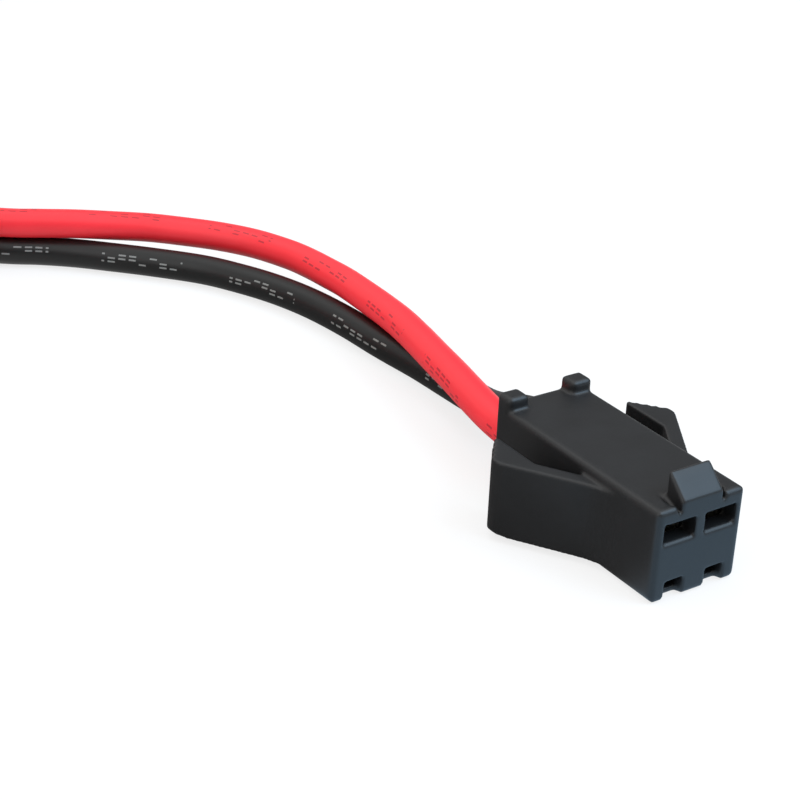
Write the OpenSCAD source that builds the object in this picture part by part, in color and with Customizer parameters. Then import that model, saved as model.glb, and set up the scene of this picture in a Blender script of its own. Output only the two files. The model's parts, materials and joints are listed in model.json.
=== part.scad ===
// Two-wire power lead with a small locking plug on one end and a flat power plug
// on the other. The spare wire is wound into a coil and tied.
// Millimetres. +X is the way the small plug mates, +Z is up, and the origin is the
// middle of the small plug's underside.

/* [Wire] */
// Outside diameter of each insulated wire
wire_d = 1.9; // [1.6:0.05:2]
// Diameter of the stranded copper inside each wire
strand_d = 0.76; // [0.6:0.02:0.9]

/* [Small plug housing] */
// Distance between the two terminals
pitch = 2.5; // [2.5:0.05:3]
// Length from the mating face to the wire side
core_len = 12.8; // [12.4:0.1:15]
// Height of the core
core_h = 5; // [4.8:0.05:6]
// Wall between a terminal bay and the side of the core
side_wall = 0.3; // [0.25:0.05:0.8]
// Wall above each terminal bay
roof_t = 0.78; // [0.5:0.02:0.9]
// Wall between each terminal bay and the mating face
front_wall = 1; // [0.7:0.1:1.4]
// Height of the bay floor above the underside
bay_floor = 1.45; // [1.35:0.05:1.55]
// Width of each opening in the mating face
mouth_w = 1.95; // [1.5:0.05:2.1]
// Height of each opening in the mating face
mouth_h = 1.05; // [0.9:0.05:1.5]
// Bevel along the lower edge of each opening
mouth_bevel = 0.15; // [0.1:0.05:0.4]
// Width of the release slot under each terminal
slot_w = 1.15; // [1:0.05:1.4]
// Height of the release slot
slot_h = 1.08; // [0.8:0.02:1.1]
// Distance from the mating face to the sill that closes each slot underneath
sill_back = 0.5; // [0.3:0.05:0.9]
// Thickness of that sill
sill_t = 0.3; // [0.2:0.05:0.5]
// Radius on the edges of the core
core_r = 0.3; // [0.1:0.05:0.5]
// Radius along the two long lower edges of the core
low_r = 0.5; // [0.2:0.05:0.6]

/* [Grip wings] */
// Width over both wings
wing_span = 11.7; // [11.2:0.1:13]
// Distance from the mating face to where each wing leaves the core
wing_start = 3.8; // [3:0.1:4.4]
// Angle between a wing's outer wall and the core
wing_angle = 32.5; // [30:0.5:40]
// Distance from the mating face to the rear tip of each wing
wing_tip = 11; // [10.6:0.1:12]
// Gap between each wing and the core
wing_gap = 1.4; // [1.1:0.1:1.8]
// Length along the core where each wing is joined to it
wing_root = 1.5; // [1.1:0.1:2]
// Step from the top of the core down to the top of the wings
wing_drop = 0.55; // [0.2:0.05:1]
// Step from the underside of the core up to the underside of the wings
wing_lift = 0.35; // [0:0.05:0.8]
// Radius of the blend between a wing's outer wall and the core
wing_blend = 4; // [1:0.5:6]
// Radius of the outer corner of each wing
wing_r = 0.8; // [0.4:0.1:1]
// Radius along the lower outer edge of each wing
wing_edge = 0.6; // [0.3:0.1:1.2]
// Number of grip scallops on each wing
scallops = 4; // [2:1:5]
// Depth of each grip scallop
scallop_deep = 0.12; // [0.05:0.01:0.2]

/* [Lock ramp and pegs] */
// Width of the lock ramp
ramp_w = 2.5; // [2:0.1:3]
// Height of the ramp's upright foot at the mating face
ramp_foot = 0.2; // [0.1:0.05:0.5]
// Height of the ramp's ridge above the core
ramp_h = 1.35; // [1.2:0.05:1.6]
// Distance from the mating face to the ridge
ramp_len = 1.25; // [1.1:0.05:1.8]
// Height of the knee where the ramp gets flatter
knee_h = 1.02; // [0.8:0.02:1.14]
// Distance from the mating face to the knee
knee_len = 0.85; // [0.6:0.05:1]
// Width of the pocket beside the ramp
pocket_w = 0.4; // [0.3:0.05:0.7]
// Length of that pocket
pocket_len = 1.2; // [0.5:0.05:1.5]
// Depth of that pocket at its front end
pocket_deep = 0.4; // [0.2:0.05:0.5]
// Length of the lip in front of the pocket
lip_len = 0.35; // [0.25:0.05:0.6]
// Width of the slit through the lip beside the ramp's foot
slit_w = 0.2; // [0.15:0.05:0.3]
// Width of each rear peg
peg_w = 1.3; // [0.9:0.05:1.4]
// Length of each rear peg along the core
peg_len = 1.15; // [0.8:0.05:1.5]
// Height of each rear peg
peg_h = 0.7; // [0.5:0.05:1]
// Radius on the edges of each rear peg
peg_r = 0.3; // [0.1:0.05:0.4]

/* [Crimp terminals] */
// Thickness of the terminal's sheet metal
sheet_t = 0.2; // [0.15:0.01:0.25]
// Thickness of the band that grips the insulation
band_t = 0.12; // [0.1:0.01:0.18]
// Length of the socket that takes the mating pin
socket_len = 5.2; // [4.8:0.1:5.6]
// Length of the crimp on the bare strands
crimp_len = 1.8; // [1.4:0.1:2]
// Length of the crimp on the insulation
clasp_len = 1.8; // [1.4:0.1:2]
// Length of sheet between socket, strand crimp and insulation crimp
neck_len = 0.75; // [0.6:0.05:0.9]

/* [Power plug] */
// Width of the metal shell
shell_w = 12; // [11.6:0.1:12.4]
// Height of the metal shell
shell_h = 4.5; // [4.3:0.1:4.8]
// Thickness of the shell's sheet metal
shell_t = 0.3; // [0.2:0.05:0.4]
// Length of shell in front of the grip
shell_out = 18.75; // [17:0.25:20]
// Length of shell held inside the grip
shell_in = 5; // [4:0.5:6]
// Width of each window in the shell
window_w = 2.3; // [1.8:0.1:2.8]
// Length of each window in the shell
window_len = 2.5; // [2:0.1:3]
// Distance from the mouth of the shell to each window
window_back = 5.2; // [4:0.1:7]
// Offset of each window from the middle of the shell
window_side = 2.4; // [2:0.1:3]
// Thickness of the insulator's tongue
tongue_t = 1.9; // [1.7:0.05:2]
// Depth of the space above the tongue
mating_deep = 12; // [10:0.5:13]
// Width of each contact
contact_w = 1; // [0.8:0.05:1.2]
// Thickness of each contact
contact_t = 0.25; // [0.2:0.05:0.35]
// Offset of the two outer contacts from the middle
outer_contact = 3.5; // [3:0.1:4]
// Offset of the two inner contacts from the middle
inner_contact = 1; // [0.8:0.05:1.2]
// Width of the moulded grip
grip_w = 15.6; // [15:0.2:17]
// Height of the moulded grip
grip_h = 7.6; // [7.2:0.2:9]
// Length of the moulded grip
grip_len = 21; // [19:0.5:25]
// Distance from the front of the grip to where it narrows
grip_waist = 12.6; // [12:0.2:15]
// Width of the grip at its back
grip_back_w = 9.7; // [8:0.1:12]
// Height of the grip at its back
grip_back_h = 5.9; // [5:0.1:7]
// Radius on the long edges of the grip
grip_r = 1.8; // [1:0.1:2.4]
// Number of finger grooves on each side of the grip
grooves = 5; // [3:1:6]
// Length of the ribbed strain relief
stem_len = 9; // [8:0.5:12]
// Number of ribs on the strain relief
stem_ribs = 5; // [3:1:6]
// Wall of the strain relief around the wires at its root
stem_wall = 0.95; // [0.8:0.05:1.2]

/* [Coil and tie] */
// Radius of the coil's inside
coil_in = 5.6; // [5:0.1:7]
// Radius of the coil's outside
coil_out = 13.4; // [13.2:0.1:15]
// Thickness of the tie's strap
strap_t = 0.5; // [0.4:0.05:0.8]
// Width of the tie's strap
strap_w = 2.5; // [2:0.1:3.5]

/* [Hidden] */
$fn = 48;

// Colours of the real materials
nylon_black = "#2b2b2d";
pvc_red = "#e8323c";
pvc_black = "#262626";
tinned = "#c9c6bd";
copper = "#c07a45";
nickel = "#c8cacc";
gilt = "#d8b45a";
white_resin = "#e9e7e0";
natural_resin = "#d9d6cb";

// Running room between neighbouring pieces
fit = 0.02;
bay_fit = 0.03;
// How far a cutting shape runs past the face that it opens
past = 1;
// Straight steps in each rounded corner, and in the small plug's tiny ones
corner_steps = 6;
mould_steps = 4;

// Housing sizes that follow from the ones above
clasp_d = wire_d + 2 * (fit + band_t);
bay_w = clasp_d + 2 * bay_fit;
bay_top = core_h - roof_t;
core_w = pitch + bay_w + 2 * side_wall;
front = core_len / 2;
wire_z = (bay_floor + bay_top) / 2;

// Wing corners, as distances behind the mating face and out from the middle
wing_in = core_w / 2 + wing_gap;
wing_back = wing_start + (wing_span - core_w) / 2 / tan(wing_angle);
wing_bite = side_wall / 2;
tip_r = 0.2;
wing_high = core_h - wing_drop - wing_lift;

// Terminal places, as distances behind the mating face
socket_gap = 0.1;
socket_side = 0.2;
socket_roof = 0.08;
socket_at = front_wall + socket_gap;
socket_end = socket_at + socket_len;
crimp_at = socket_end + neck_len;
clasp_at = crimp_at + crimp_len + neck_len;
cut_at = clasp_at - neck_len / 2;
strand_out = 0.35;
strip_z = wire_z - strand_d / 2 - sheet_t;
socket_w = bay_w - 2 * socket_side;
socket_h = bay_top - socket_roof - strip_z;
strip_w = 0.9;
lobe_out = strand_d * 0.3;
lobe_d = strand_d / 2 + 2 * sheet_t;
lance_back = 1.9;
lance_len = 2.5;
lance_side = 0.13;
lance_gap = 0.06;
lance_at = socket_at + lance_back;
lance_end = lance_at + lance_len;
lance_w = slot_w - 2 * lance_side;
lance_z = slot_h + lance_gap;
lance_t = 0.15;
leaf_peak = 2.2;
leaf_len = 4;
leaf_rise = 0.6;
leaf_end = 0.35;

// Power plug sizes that follow, measured from the front of the grip
plug_at = [-13, -55];
plug_z = grip_h / 2;
fold_r = 0.3;
seam_w = 0.12;
shell_r = shell_t + fold_r;
tongue_low = fit + shell_t - shell_h / 2;
tongue_top = tongue_low + tongue_t;
tongue_setback = 0.4;
tongue_front = shell_out - tongue_setback;
mating_back = shell_out - mating_deep;
outer_setback = 0.8;
inner_setback = 1.8;
tail_out = 2;
data_tail_out = 0.8;
tail_end = shell_in + tail_out;
data_tail_end = shell_in + data_tail_out;
collar = 3;
inner_wall = 0.5;
inner_len = 8;
lead_in = 2.5;
inner_end = shell_in + inner_len;
strip_end = inner_end - lead_in;
lead_z = tongue_top + strand_d / 2;
lead_room = 0.15;
lead_gap = wire_d + lead_room;
joint_in = 0.7;
joint_x = tail_end - joint_in;
solder_d = 1.3;
front_r = 0.6;
waist_r = 6;
back_r = 1.2;
first_groove = 3.4;
groove_w = 0.7;
groove_deep = 0.45;
groove_pitch = 1.7;
rib_share = 0.6;
tip_wall = 0.5;
neck_wall = 0.35;

// Coil place, and sizes that follow
coil_at = [-48.5, -32];
coil_rows = 4;
coil_h = coil_rows * wire_d;
tie_turn = 300;
tie_arc = 40;
lap = 0.5;
head = [2.6, 4, 3.4];
tie_stub = 1.6;

// Wire routes, first inside the housing and then along the table
wire_sides = 8;
wire_start_x = front - cut_at;
red_route = [
    [wire_start_x, -pitch / 2, wire_z],
    [-front, -pitch / 2, wire_z],
    [-8.6, -1.1, 2.87],
    [-11.2, -0.65, 2.9],
    [-13.6, -0.15, 2.9],
    [-16, 0.3, 2.9],
    [-18.6, 0.8, 2.9],
    [-21.1, 1.2, 2.9],
    [-23.6, 1.5, 2.8],
    [-25.9, 1.7, 2.7],
    [-28.3, 1.85, 2.6],
    [-30.3, 1.75, 2.55],
    [-32.3, 1.6, 2.5],
    [-34.2, 1.2, 2.5],
    [-36.8, 0.2, 2.5],
    [-39, -1.2, 2.5],
    [-40.8, -2.95, 2.55],
    [-42.4, -4.75, 2.6],
    [-43.6, -6.8, 2.7],
    [-44.6, -8.9, 2.85],
    [-45.7, -10.9, 2.87],
    [-46.9, -12.9, 2.87],
    [-49.8, -16.4, 2.87],
    [-53, -19.3, 2.87],
    [-56.3, -22.3, 2.87],
    [-59, -25.7, 2.87],
];
black_route = [
    [wire_start_x, pitch / 2, wire_z],
    [-front, pitch / 2, wire_z],
    [-8.4, 1.2, 2.6],
    [-10.2, 1.1, 2],
    [-11.9, 1.15, 1.5],
    [-13.9, 1.4, 1.15],
    [-16.5, 1.5, 0.96],
    [-19.3, 1.35, 0.96],
    [-22.7, 1, 0.96],
    [-26.4, 0.75, 0.96],
    [-29.9, 0.25, 0.96],
    [-32.9, -0.6, 0.96],
    [-35.5, -1.75, 0.96],
    [-37.9, -3.15, 0.96],
    [-40.5, -5.4, 0.96],
    [-42.5, -7.35, 0.96],
    [-44.2, -9.1, 0.96],
    [-45.7, -11, 0.96],
    [-47, -13, 0.96],
    [-49.8, -16.4, 0.96],
    [-53, -19.3, 0.96],
    [-56.3, -22.3, 0.96],
    [-59, -25.7, 0.96],
];
red_tail_route = [
    [-61, -32, 6.7],
    [-62, -35.5, 6.15],
    [-62.7, -39, 4.1],
    [-62.4, -42.6, 2.2],
    [-61.7, -46.8, 0.96],
    [-59.6, -51, 0.96],
    [-56, -54.3, 0.96],
    [-51.6, -55.9, 1.4],
    [-47.3, -56.05, 2.8],
    plug_point(grip_len + stem_len, -lead_gap / 2),
    plug_point(strip_end, -lead_gap / 2),
];
black_tail_route = [
    [-61, -32, 4.75],
    [-61, -35.5, 4.3],
    [-60.9, -39, 2.9],
    [-60.4, -42.5, 1.5],
    [-59.3, -46.2, 0.96],
    [-57.2, -49.8, 0.96],
    [-54.2, -52.5, 0.96],
    [-50.6, -53.7, 1.4],
    [-47.2, -53.95, 2.8],
    plug_point(grip_len + stem_len, lead_gap / 2),
    plug_point(strip_end, lead_gap / 2),
];

// A point on the power plug's wires, so far behind the front of the grip
function plug_point(back, y) = [plug_at.x - back, plug_at.y + y, plug_z + lead_z];

function unit(v) = v / norm(v);
function rect(w, h) = [[-w, -h] / 2, [w, -h] / 2, [w, h] / 2, [-w, h] / 2];

// Points of the arc that rounds the corner b between its neighbours a and c
function arc_at(a, b, c, r, steps = corner_steps) =
    let (u = unit(a - b))
    let (w = unit(c - b))
    let (half = acos(u * w) / 2)
    let (mid = b + unit(u + w) * r / sin(half))
    let (from = b + u * r / tan(half) - mid)
    let (begin = atan2(from.y, from.x))
    let (turn = sign(cross(w, u)) * (180 - 2 * half))
    [for (i = [0:steps]) let (q = begin + turn * i / steps) mid + r * [cos(q), sin(q)]];

// An outline with each corner rounded to its own radius
function rounded(points, radii, steps = corner_steps) =
    let (n = len(points))
    [
        for (i = [0:n - 1])
            let (r = is_list(radii) ? radii[i] : radii)
            let (before = points[(i + n - 1) % n])
            let (after = points[(i + 1) % n])
            each r == 0 ? [points[i]] : arc_at(before, points[i], after, r, steps)
    ];

// A ring of points around a route at one of its points
function route_ring(at, along) =
    let (t = unit(along))
    let (s = unit(cross([0, 0, 1], t)))
    let (w = cross(t, s))
    [
        for (i = [0:wire_sides - 1])
            let (q = 360 * i / wire_sides)
            at + wire_d / 2 * (cos(q) * s + sin(q) * w)
    ];

// A plan outline, a side outline or a front outline made solid
module from_plan(height) {
    linear_extrude(height)
        children();
}

module from_side(width) {
    rotate([90, 0, 0])
        linear_extrude(width, center = true)
            children();
}

module from_front(length) {
    rotate([90, 0, 90])
        linear_extrude(length)
            children();
}

// A moulded block with every edge rounded, standing on z = 0
module soft_block(size, r, low = undef) {
    foot_r = is_undef(low) ? r : low;
    intersection() {
        from_plan(size.z)
            polygon(rounded(rect(size.x, size.y), r, mould_steps));
        from_side(size.y)
            translate([0, size.z / 2])
                polygon(rounded(rect(size.x, size.z), r, mould_steps));
        translate([-size.x / 2, 0, 0])
            from_front(size.x)
                translate([0, size.z / 2])
                    polygon(rounded(rect(size.y, size.z), [foot_r, foot_r, r, r], mould_steps));
    }
}

// A plain block between two distances behind the mating face
module behind_face(u0, u1, y, w, z0, z1) {
    translate([front - u1, y - w / 2, z0])
        cube([u1 - u0, w, z1 - z0]);
}

module wing() {
    slot_in = wing_start + wing_root;
    outline = [
        [front - wing_start + wing_bite / tan(wing_angle), core_w / 2 - wing_bite],
        [front - wing_back, wing_span / 2],
        [front - wing_tip, wing_in],
        [front - slot_in - wing_gap / tan(wing_angle), wing_in],
        [front - slot_in + wing_bite / tan(wing_angle), core_w / 2 - wing_bite],
    ];
    joint = [front - wing_start, core_w / 2];
    blend = arc_at([front, core_w / 2], joint, outline[1], wing_blend);
    edge = outline[2] - outline[1];
    outward = unit([edge.y, -edge.x]);
    step = norm(edge) / (scallops + 2);
    scallop_r = step / 2;
    difference() {
        translate([0, 0, wing_lift])
            intersection() {
                from_plan(wing_high) {
                    polygon(rounded(outline, [0, wing_r, tip_r, tip_r, 0], mould_steps));
                    polygon(concat(blend, [joint - [0, wing_bite]]));
                }
                translate([-front, 0, 0])
                    from_front(core_len)
                        translate([0, wing_high / 2])
                            polygon(rounded(rect(wing_span, wing_high),
                                [wing_edge, wing_edge, tip_r, tip_r], mould_steps));
            }
        for (i = [1:scallops])
            translate(outline[1] + unit(edge) * step * (i + 0.5) + outward * (scallop_r - scallop_deep))
                translate([0, 0, -past])
                    cylinder(r = scallop_r, h = core_h + 2 * past);
    }
}

module lock_ramp() {
    from_side(ramp_w)
        polygon([
            [front, core_h - roof_t / 2],
            [front, core_h + ramp_foot],
            [front - knee_len, core_h + knee_h],
            [front - ramp_len, core_h + ramp_h],
            [front - ramp_len, core_h - roof_t / 2],
        ]);
}

// Pocket beside the ramp that runs out to the rear, with a slit to the mating face
module ramp_pocket(side) {
    floor_z = core_h - pocket_deep;
    translate([front - lip_len, side * (ramp_w + pocket_w) / 2, 0])
        from_side(pocket_w)
            polygon([
                [0, core_h + past],
                [-pocket_len, core_h + past],
                [-pocket_len, core_h],
                [0, floor_z],
            ]);
    behind_face(-past, lip_len + fit, side * (ramp_w + slit_w) / 2, slit_w, floor_z, core_h + past);
}

module rear_peg(y) {
    sunk = core_r + peg_r;
    translate([peg_len / 2 - front, y, core_h - sunk])
        soft_block([peg_len, peg_w, peg_h + sunk], peg_r);
}

// The bay, mouth, release slot and lance window of one terminal
module terminal_way(y) {
    mouth_low = bay_top - mouth_h;
    behind_face(front_wall, core_len + past, y, bay_w, bay_floor, bay_top);
    behind_face(-past, front_wall + past, y, mouth_w, mouth_low, bay_top);
    translate([0, y, 0])
        from_side(mouth_w)
            polygon([
                [front + past, mouth_low - mouth_bevel - past],
                [front + past, mouth_low + fit],
                [front - mouth_bevel, mouth_low + fit],
                [front - mouth_bevel, mouth_low],
            ]);
    behind_face(-past, sill_back, y, slot_w, -past, slot_h);
    behind_face(0, lance_end + past, y, slot_w, sill_t, slot_h);
    behind_face(lance_at, lance_end + past, y, slot_w, -past, slot_h);
    behind_face(lance_at, lance_end + bay_fit, y, slot_w, 0, bay_floor + past);
}

module housing() {
    color(nylon_black)
        difference() {
            union() {
                soft_block([core_len, core_w, core_h], core_r, low_r);
                wing();
                mirror([0, 1, 0])
                    wing();
                lock_ramp();
                for (side = [-1, 1])
                    rear_peg(side * (core_w - peg_w) / 2);
            }
            for (side = [-1, 1]) {
                terminal_way(side * pitch / 2);
                ramp_pocket(side);
            }
        }
}

// Socket box with its spring leaf and the lance that locks it in the bay
module terminal_socket() {
    difference() {
        behind_face(socket_at, socket_end, 0, socket_w, strip_z, strip_z + socket_h);
        behind_face(socket_at - past, socket_end + past, 0, socket_w - 2 * sheet_t, strip_z + sheet_t,
            strip_z + socket_h - sheet_t);
        behind_face(socket_at - past, socket_end + past, 0, sheet_t, strip_z + socket_h / 2,
            strip_z + socket_h + past);
    }
    leaf_z = strip_z + sheet_t;
    leaf_x = front - socket_at - sheet_t;
    from_side(strip_w)
        polygon([
            [leaf_x, leaf_z - sheet_t / 2],
            [leaf_x - leaf_peak, leaf_z + leaf_rise],
            [leaf_x - leaf_len, leaf_z + leaf_end],
            [leaf_x - leaf_len, leaf_z + leaf_end - lance_t],
            [leaf_x - leaf_peak, leaf_z + leaf_rise - lance_t],
            [leaf_x - lance_t * 2, leaf_z - sheet_t / 2],
        ]);
    from_side(lance_w)
        polygon([
            [front - lance_at, strip_z + sheet_t / 2],
            [front - lance_end, lance_z + lance_t],
            [front - lance_end, lance_z],
            [front - lance_at + lance_t, strip_z],
        ]);
}

// Rolled crimp that grips the bare strands
module strand_crimp() {
    translate([front - crimp_at - crimp_len, 0, 0])
        from_front(crimp_len)
            difference() {
                union() {
                    translate([0, (strip_z + wire_z) / 2])
                        polygon(rounded(rect(strand_d + 2 * sheet_t, wire_z - strip_z), sheet_t));
                    for (side = [-1, 1])
                        translate([side * lobe_out, wire_z + lobe_out])
                            circle(d = lobe_d);
                    translate([-strand_d / 2 - sheet_t, wire_z - strand_d / 2])
                        square([strand_d + 2 * sheet_t, strand_d]);
                }
                translate([0, wire_z])
                    circle(d = strand_d + 2 * fit);
            }
}

// Band closed round the insulation, with a seam on top
module insulation_clasp() {
    translate([front - clasp_at - clasp_len, 0, 0])
        from_front(clasp_len)
            translate([0, wire_z])
                difference() {
                    circle(d = clasp_d);
                    circle(d = wire_d + 2 * fit);
                    translate([-band_t / 2, 0])
                        square([band_t, wire_d]);
                }
}

// Strip of sheet that joins socket, strand crimp and insulation clasp
module terminal_strip() {
    low = wire_z - clasp_d / 2;
    from_side(strip_w)
        polygon([
            [front - socket_end + past, strip_z],
            [front - socket_end + past, strip_z + sheet_t - fit],
            [front - crimp_at - crimp_len, strip_z + sheet_t - fit],
            [front - cut_at, low + band_t - fit],
            [front - clasp_at - clasp_len / 2, low + band_t - fit],
            [front - clasp_at - clasp_len / 2, low],
            [front - cut_at, low],
            [front - crimp_at - crimp_len, strip_z],
        ]);
}

module crimp_terminal(y) {
    color(tinned)
        translate([0, y, 0]) {
            terminal_socket();
            strand_crimp();
            terminal_strip();
            insulation_clasp();
        }
}

module red_terminal() {
    crimp_terminal(-pitch / 2);
}

module black_terminal() {
    crimp_terminal(pitch / 2);
}

module strand_end(y) {
    color(copper)
        translate([front - cut_at, y, wire_z])
            rotate([0, 90, 0])
                cylinder(d = strand_d, h = cut_at - crimp_at + strand_out);
}

module red_strand_end() {
    strand_end(-pitch / 2);
}

module black_strand_end() {
    strand_end(pitch / 2);
}

// A plain tube swept along a route
module swept_wire(route) {
    last = len(route) - 1;
    rings = [
        for (i = [0:last])
            each route_ring(route[i], route[min(i + 1, last)] - route[max(i - 1, 0)])
    ];
    n = wire_sides;
    walls = [
        for (i = [0:last - 1])
            for (j = [0:n - 1])
                let (k = (j + 1) % n)
                [i * n + j, (i + 1) * n + j, (i + 1) * n + k, i * n + k]
    ];
    first_cap = [for (j = [0:n - 1]) j];
    last_cap = [for (j = [n - 1:-1:0]) last * n + j];
    polyhedron(points = rings, faces = concat(walls, [first_cap, last_cap]), convexity = 6);
}

module red_wire() {
    color(pvc_red)
        swept_wire(red_route);
}

module black_wire() {
    color(pvc_black)
        swept_wire(black_route);
}

module red_tail() {
    color(pvc_red)
        swept_wire(red_tail_route);
}

module black_tail() {
    color(pvc_black)
        swept_wire(black_tail_route);
}

module coil_section(lift) {
    translate([(coil_in + coil_out) / 2, lift + coil_h / 2])
        polygon(rounded(rect(coil_out - coil_in, coil_h), wire_d / 2));
}

// The wound wires as one ring, lifted where the strap passes under them
module wire_coil() {
    color(pvc_black)
        translate(coil_at) {
            rotate([0, 0, tie_turn + tie_arc / 2])
                rotate_extrude(angle = 360 - tie_arc)
                    coil_section(0);
            rotate([0, 0, tie_turn - tie_arc / 2 - lap])
                rotate_extrude(angle = tie_arc + 2 * lap)
                    coil_section(strap_t + fit);
        }
}

// Strap round the coil, with its locking head and the trimmed end
module cable_tie() {
    inner = sqrt(pow(coil_in, 2) - pow(strap_w / 2, 2)) - fit;
    wide = coil_out + fit - inner;
    high = coil_h + 2 * fit;
    out = wide / 2 + strap_t;
    mid = high / 2 + strap_t;
    color(nylon_black)
        translate(coil_at)
            rotate([0, 0, tie_turn])
                translate([inner + wide / 2, 0, 0]) {
                    from_side(strap_w)
                        translate([0, mid])
                            difference() {
                                polygon(rounded(rect(wide + 2 * strap_t, high + 2 * strap_t),
                                    wire_d / 2 + strap_t));
                                polygon(rounded(rect(wide, high), wire_d / 2));
                            }
                    translate([out - strap_t / 2 + head.x / 2, 0, mid - head.z / 2])
                        soft_block(head, strap_t);
                    translate([out + strap_t, -strap_w / 2, mid])
                        cube([strap_t * 2, strap_w, head.z / 2 + tie_stub]);
                }
}

// Puts a shape that is drawn round the power plug's axis in its place
module at_plug() {
    translate([plug_at.x, plug_at.y, plug_z])
        children();
}

module shell_outline(inset) {
    polygon(rounded(rect(shell_w - 2 * inset, shell_h - 2 * inset), shell_r - inset));
}

// Folded sheet shell with two windows in each broad side and a seam underneath
module plug_shell() {
    window_x = shell_out - window_back - window_len;
    color(nickel)
        at_plug()
            difference() {
                translate([-shell_in, 0, 0])
                    from_front(shell_in + shell_out)
                        difference() {
                            shell_outline(0);
                            shell_outline(shell_t);
                        }
                for (side = [-1, 1])
                    translate([window_x, side * window_side - window_w / 2, -shell_h])
                        cube([window_len, window_w, 2 * shell_h]);
                translate([-shell_in - past, -seam_w / 2, -shell_h])
                    cube([shell_in + shell_out + 2 * past, seam_w, shell_h]);
            }
}

// A contact's strip, or with room round it the way that is cut for it
module contact_strip(y, setback, tail, room) {
    translate([-tail, y - contact_w / 2 - room, tongue_top - contact_t - room])
        cube([tail + tongue_front - setback + room, contact_w + 2 * room, contact_t + 2 * room]);
}

module all_contacts(room) {
    for (side = [-1, 1]) {
        contact_strip(side * outer_contact, outer_setback, tail_end, room);
        contact_strip(side * inner_contact, inner_setback, data_tail_end, room);
    }
}

module plug_insulator() {
    color(white_resin)
        at_plug()
            difference() {
                intersection() {
                    from_side(shell_w)
                        polygon([
                            [tongue_front, -shell_h],
                            [tongue_front, tongue_top - contact_t],
                            [tongue_front - contact_t, tongue_top],
                            [mating_back, tongue_top],
                            [mating_back, shell_h],
                            [-shell_in, shell_h],
                            [-shell_in, -shell_h],
                        ]);
                    translate([-shell_in, 0, 0])
                        from_front(shell_in + shell_out)
                            shell_outline(shell_t + fit);
                }
                all_contacts(fit);
            }
}

module power_contact() {
    color(gilt)
        at_plug()
            contact_strip(-outer_contact, outer_setback, tail_end, 0);
}

module data_minus_contact() {
    color(gilt)
        at_plug()
            contact_strip(-inner_contact, inner_setback, data_tail_end, 0);
}

module data_plus_contact() {
    color(gilt)
        at_plug()
            contact_strip(inner_contact, inner_setback, data_tail_end, 0);
}

module ground_contact() {
    color(gilt)
        at_plug()
            contact_strip(outer_contact, outer_setback, tail_end, 0);
}

// Bare strands from the end of the insulation out to a contact's tail
module plug_strands(side, room) {
    reach = [strip_end - joint_x, side * (outer_contact - lead_gap / 2), 0];
    lean = atan2(reach.y, reach.x);
    clear = strand_d / 2 * abs(sin(lean));
    translate([clear - strip_end, side * lead_gap / 2, lead_z])
        rotate([0, 90, lean])
            cylinder(d = strand_d + 2 * room, h = norm(reach) - clear);
}

module red_plug_strands() {
    color(copper)
        at_plug()
            plug_strands(-1, 0);
}

module black_plug_strands() {
    color(copper)
        at_plug()
            plug_strands(1, 0);
}

module solder_ball(side) {
    translate([-joint_x, side * outer_contact, lead_z])
        sphere(d = solder_d);
}

module solder_joint(side) {
    color(tinned)
        at_plug()
            difference() {
                solder_ball(side);
                plug_strands(side, fit);
                contact_strip(side * outer_contact, outer_setback, tail_end, fit);
            }
}

module power_solder() {
    solder_joint(-1);
}

module ground_solder() {
    solder_joint(1);
}

module inner_block() {
    translate([-inner_end, 0, 0])
        from_front(inner_end - shell_in + collar)
            polygon(rounded(rect(shell_w + 2 * inner_wall, shell_h + 2 * inner_wall),
                shell_r + inner_wall));
}

module wire_bores(from, to) {
    for (side = [-1, 1])
        translate([-to, side * lead_gap / 2, lead_z])
            rotate([0, 90, 0])
                cylinder(d = wire_d + 2 * fit, h = to - from);
}

// First moulding, round the soldered tails and the back of the shell
module plug_inner_mould() {
    color(natural_resin)
        at_plug()
            difference() {
                inner_block();
                translate([-shell_in, 0, 0])
                    from_front(shell_in + shell_out)
                        shell_outline(0);
                all_contacts(fit);
                for (side = [-1, 1]) {
                    plug_strands(side, fit);
                    solder_ball(side);
                }
                wire_bores(strip_end, inner_end + past);
            }
}

// Outside of the grip as seen from above, the side and the front
module grip_body() {
    intersection() {
        translate([0, 0, -grip_h])
            from_plan(2 * grip_h)
                polygon(rounded([
                    [0, -grip_w / 2],
                    [0, grip_w / 2],
                    [-grip_waist, grip_w / 2],
                    [-grip_len, grip_back_w / 2],
                    [-grip_len, -grip_back_w / 2],
                    [-grip_waist, -grip_w / 2],
                ], [front_r, front_r, waist_r, back_r, back_r, waist_r]));
        from_side(grip_w)
            polygon(rounded([
                [0, -grip_h / 2],
                [-grip_waist, -grip_h / 2],
                [-grip_len, -grip_back_h / 2],
                [-grip_len, grip_back_h / 2],
                [-grip_waist, grip_h / 2],
                [0, grip_h / 2],
            ], [front_r, waist_r, back_r, back_r, waist_r, front_r]));
        translate([-grip_len, 0, 0])
            from_front(grip_len)
                polygon(rounded(rect(grip_w, grip_h), grip_r));
    }
}

module flat_oval(wall) {
    polygon(rounded(rect(lead_gap + wire_d + 2 * wall, wire_d + 2 * wall), wire_d / 2 + wall - fit));
}

// Ribbed strain relief that gets thinner towards the wires
module stem() {
    step = stem_len / stem_ribs;
    translate([-grip_len - stem_len, 0, lead_z])
        from_front(stem_len + past)
            flat_oval(neck_wall);
    for (i = [0:stem_ribs - 1])
        translate([-grip_len - (i + 1) * step, 0, lead_z])
            from_front(step * rib_share)
                flat_oval(stem_wall + (tip_wall - stem_wall) * i / (stem_ribs - 1));
}

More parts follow.
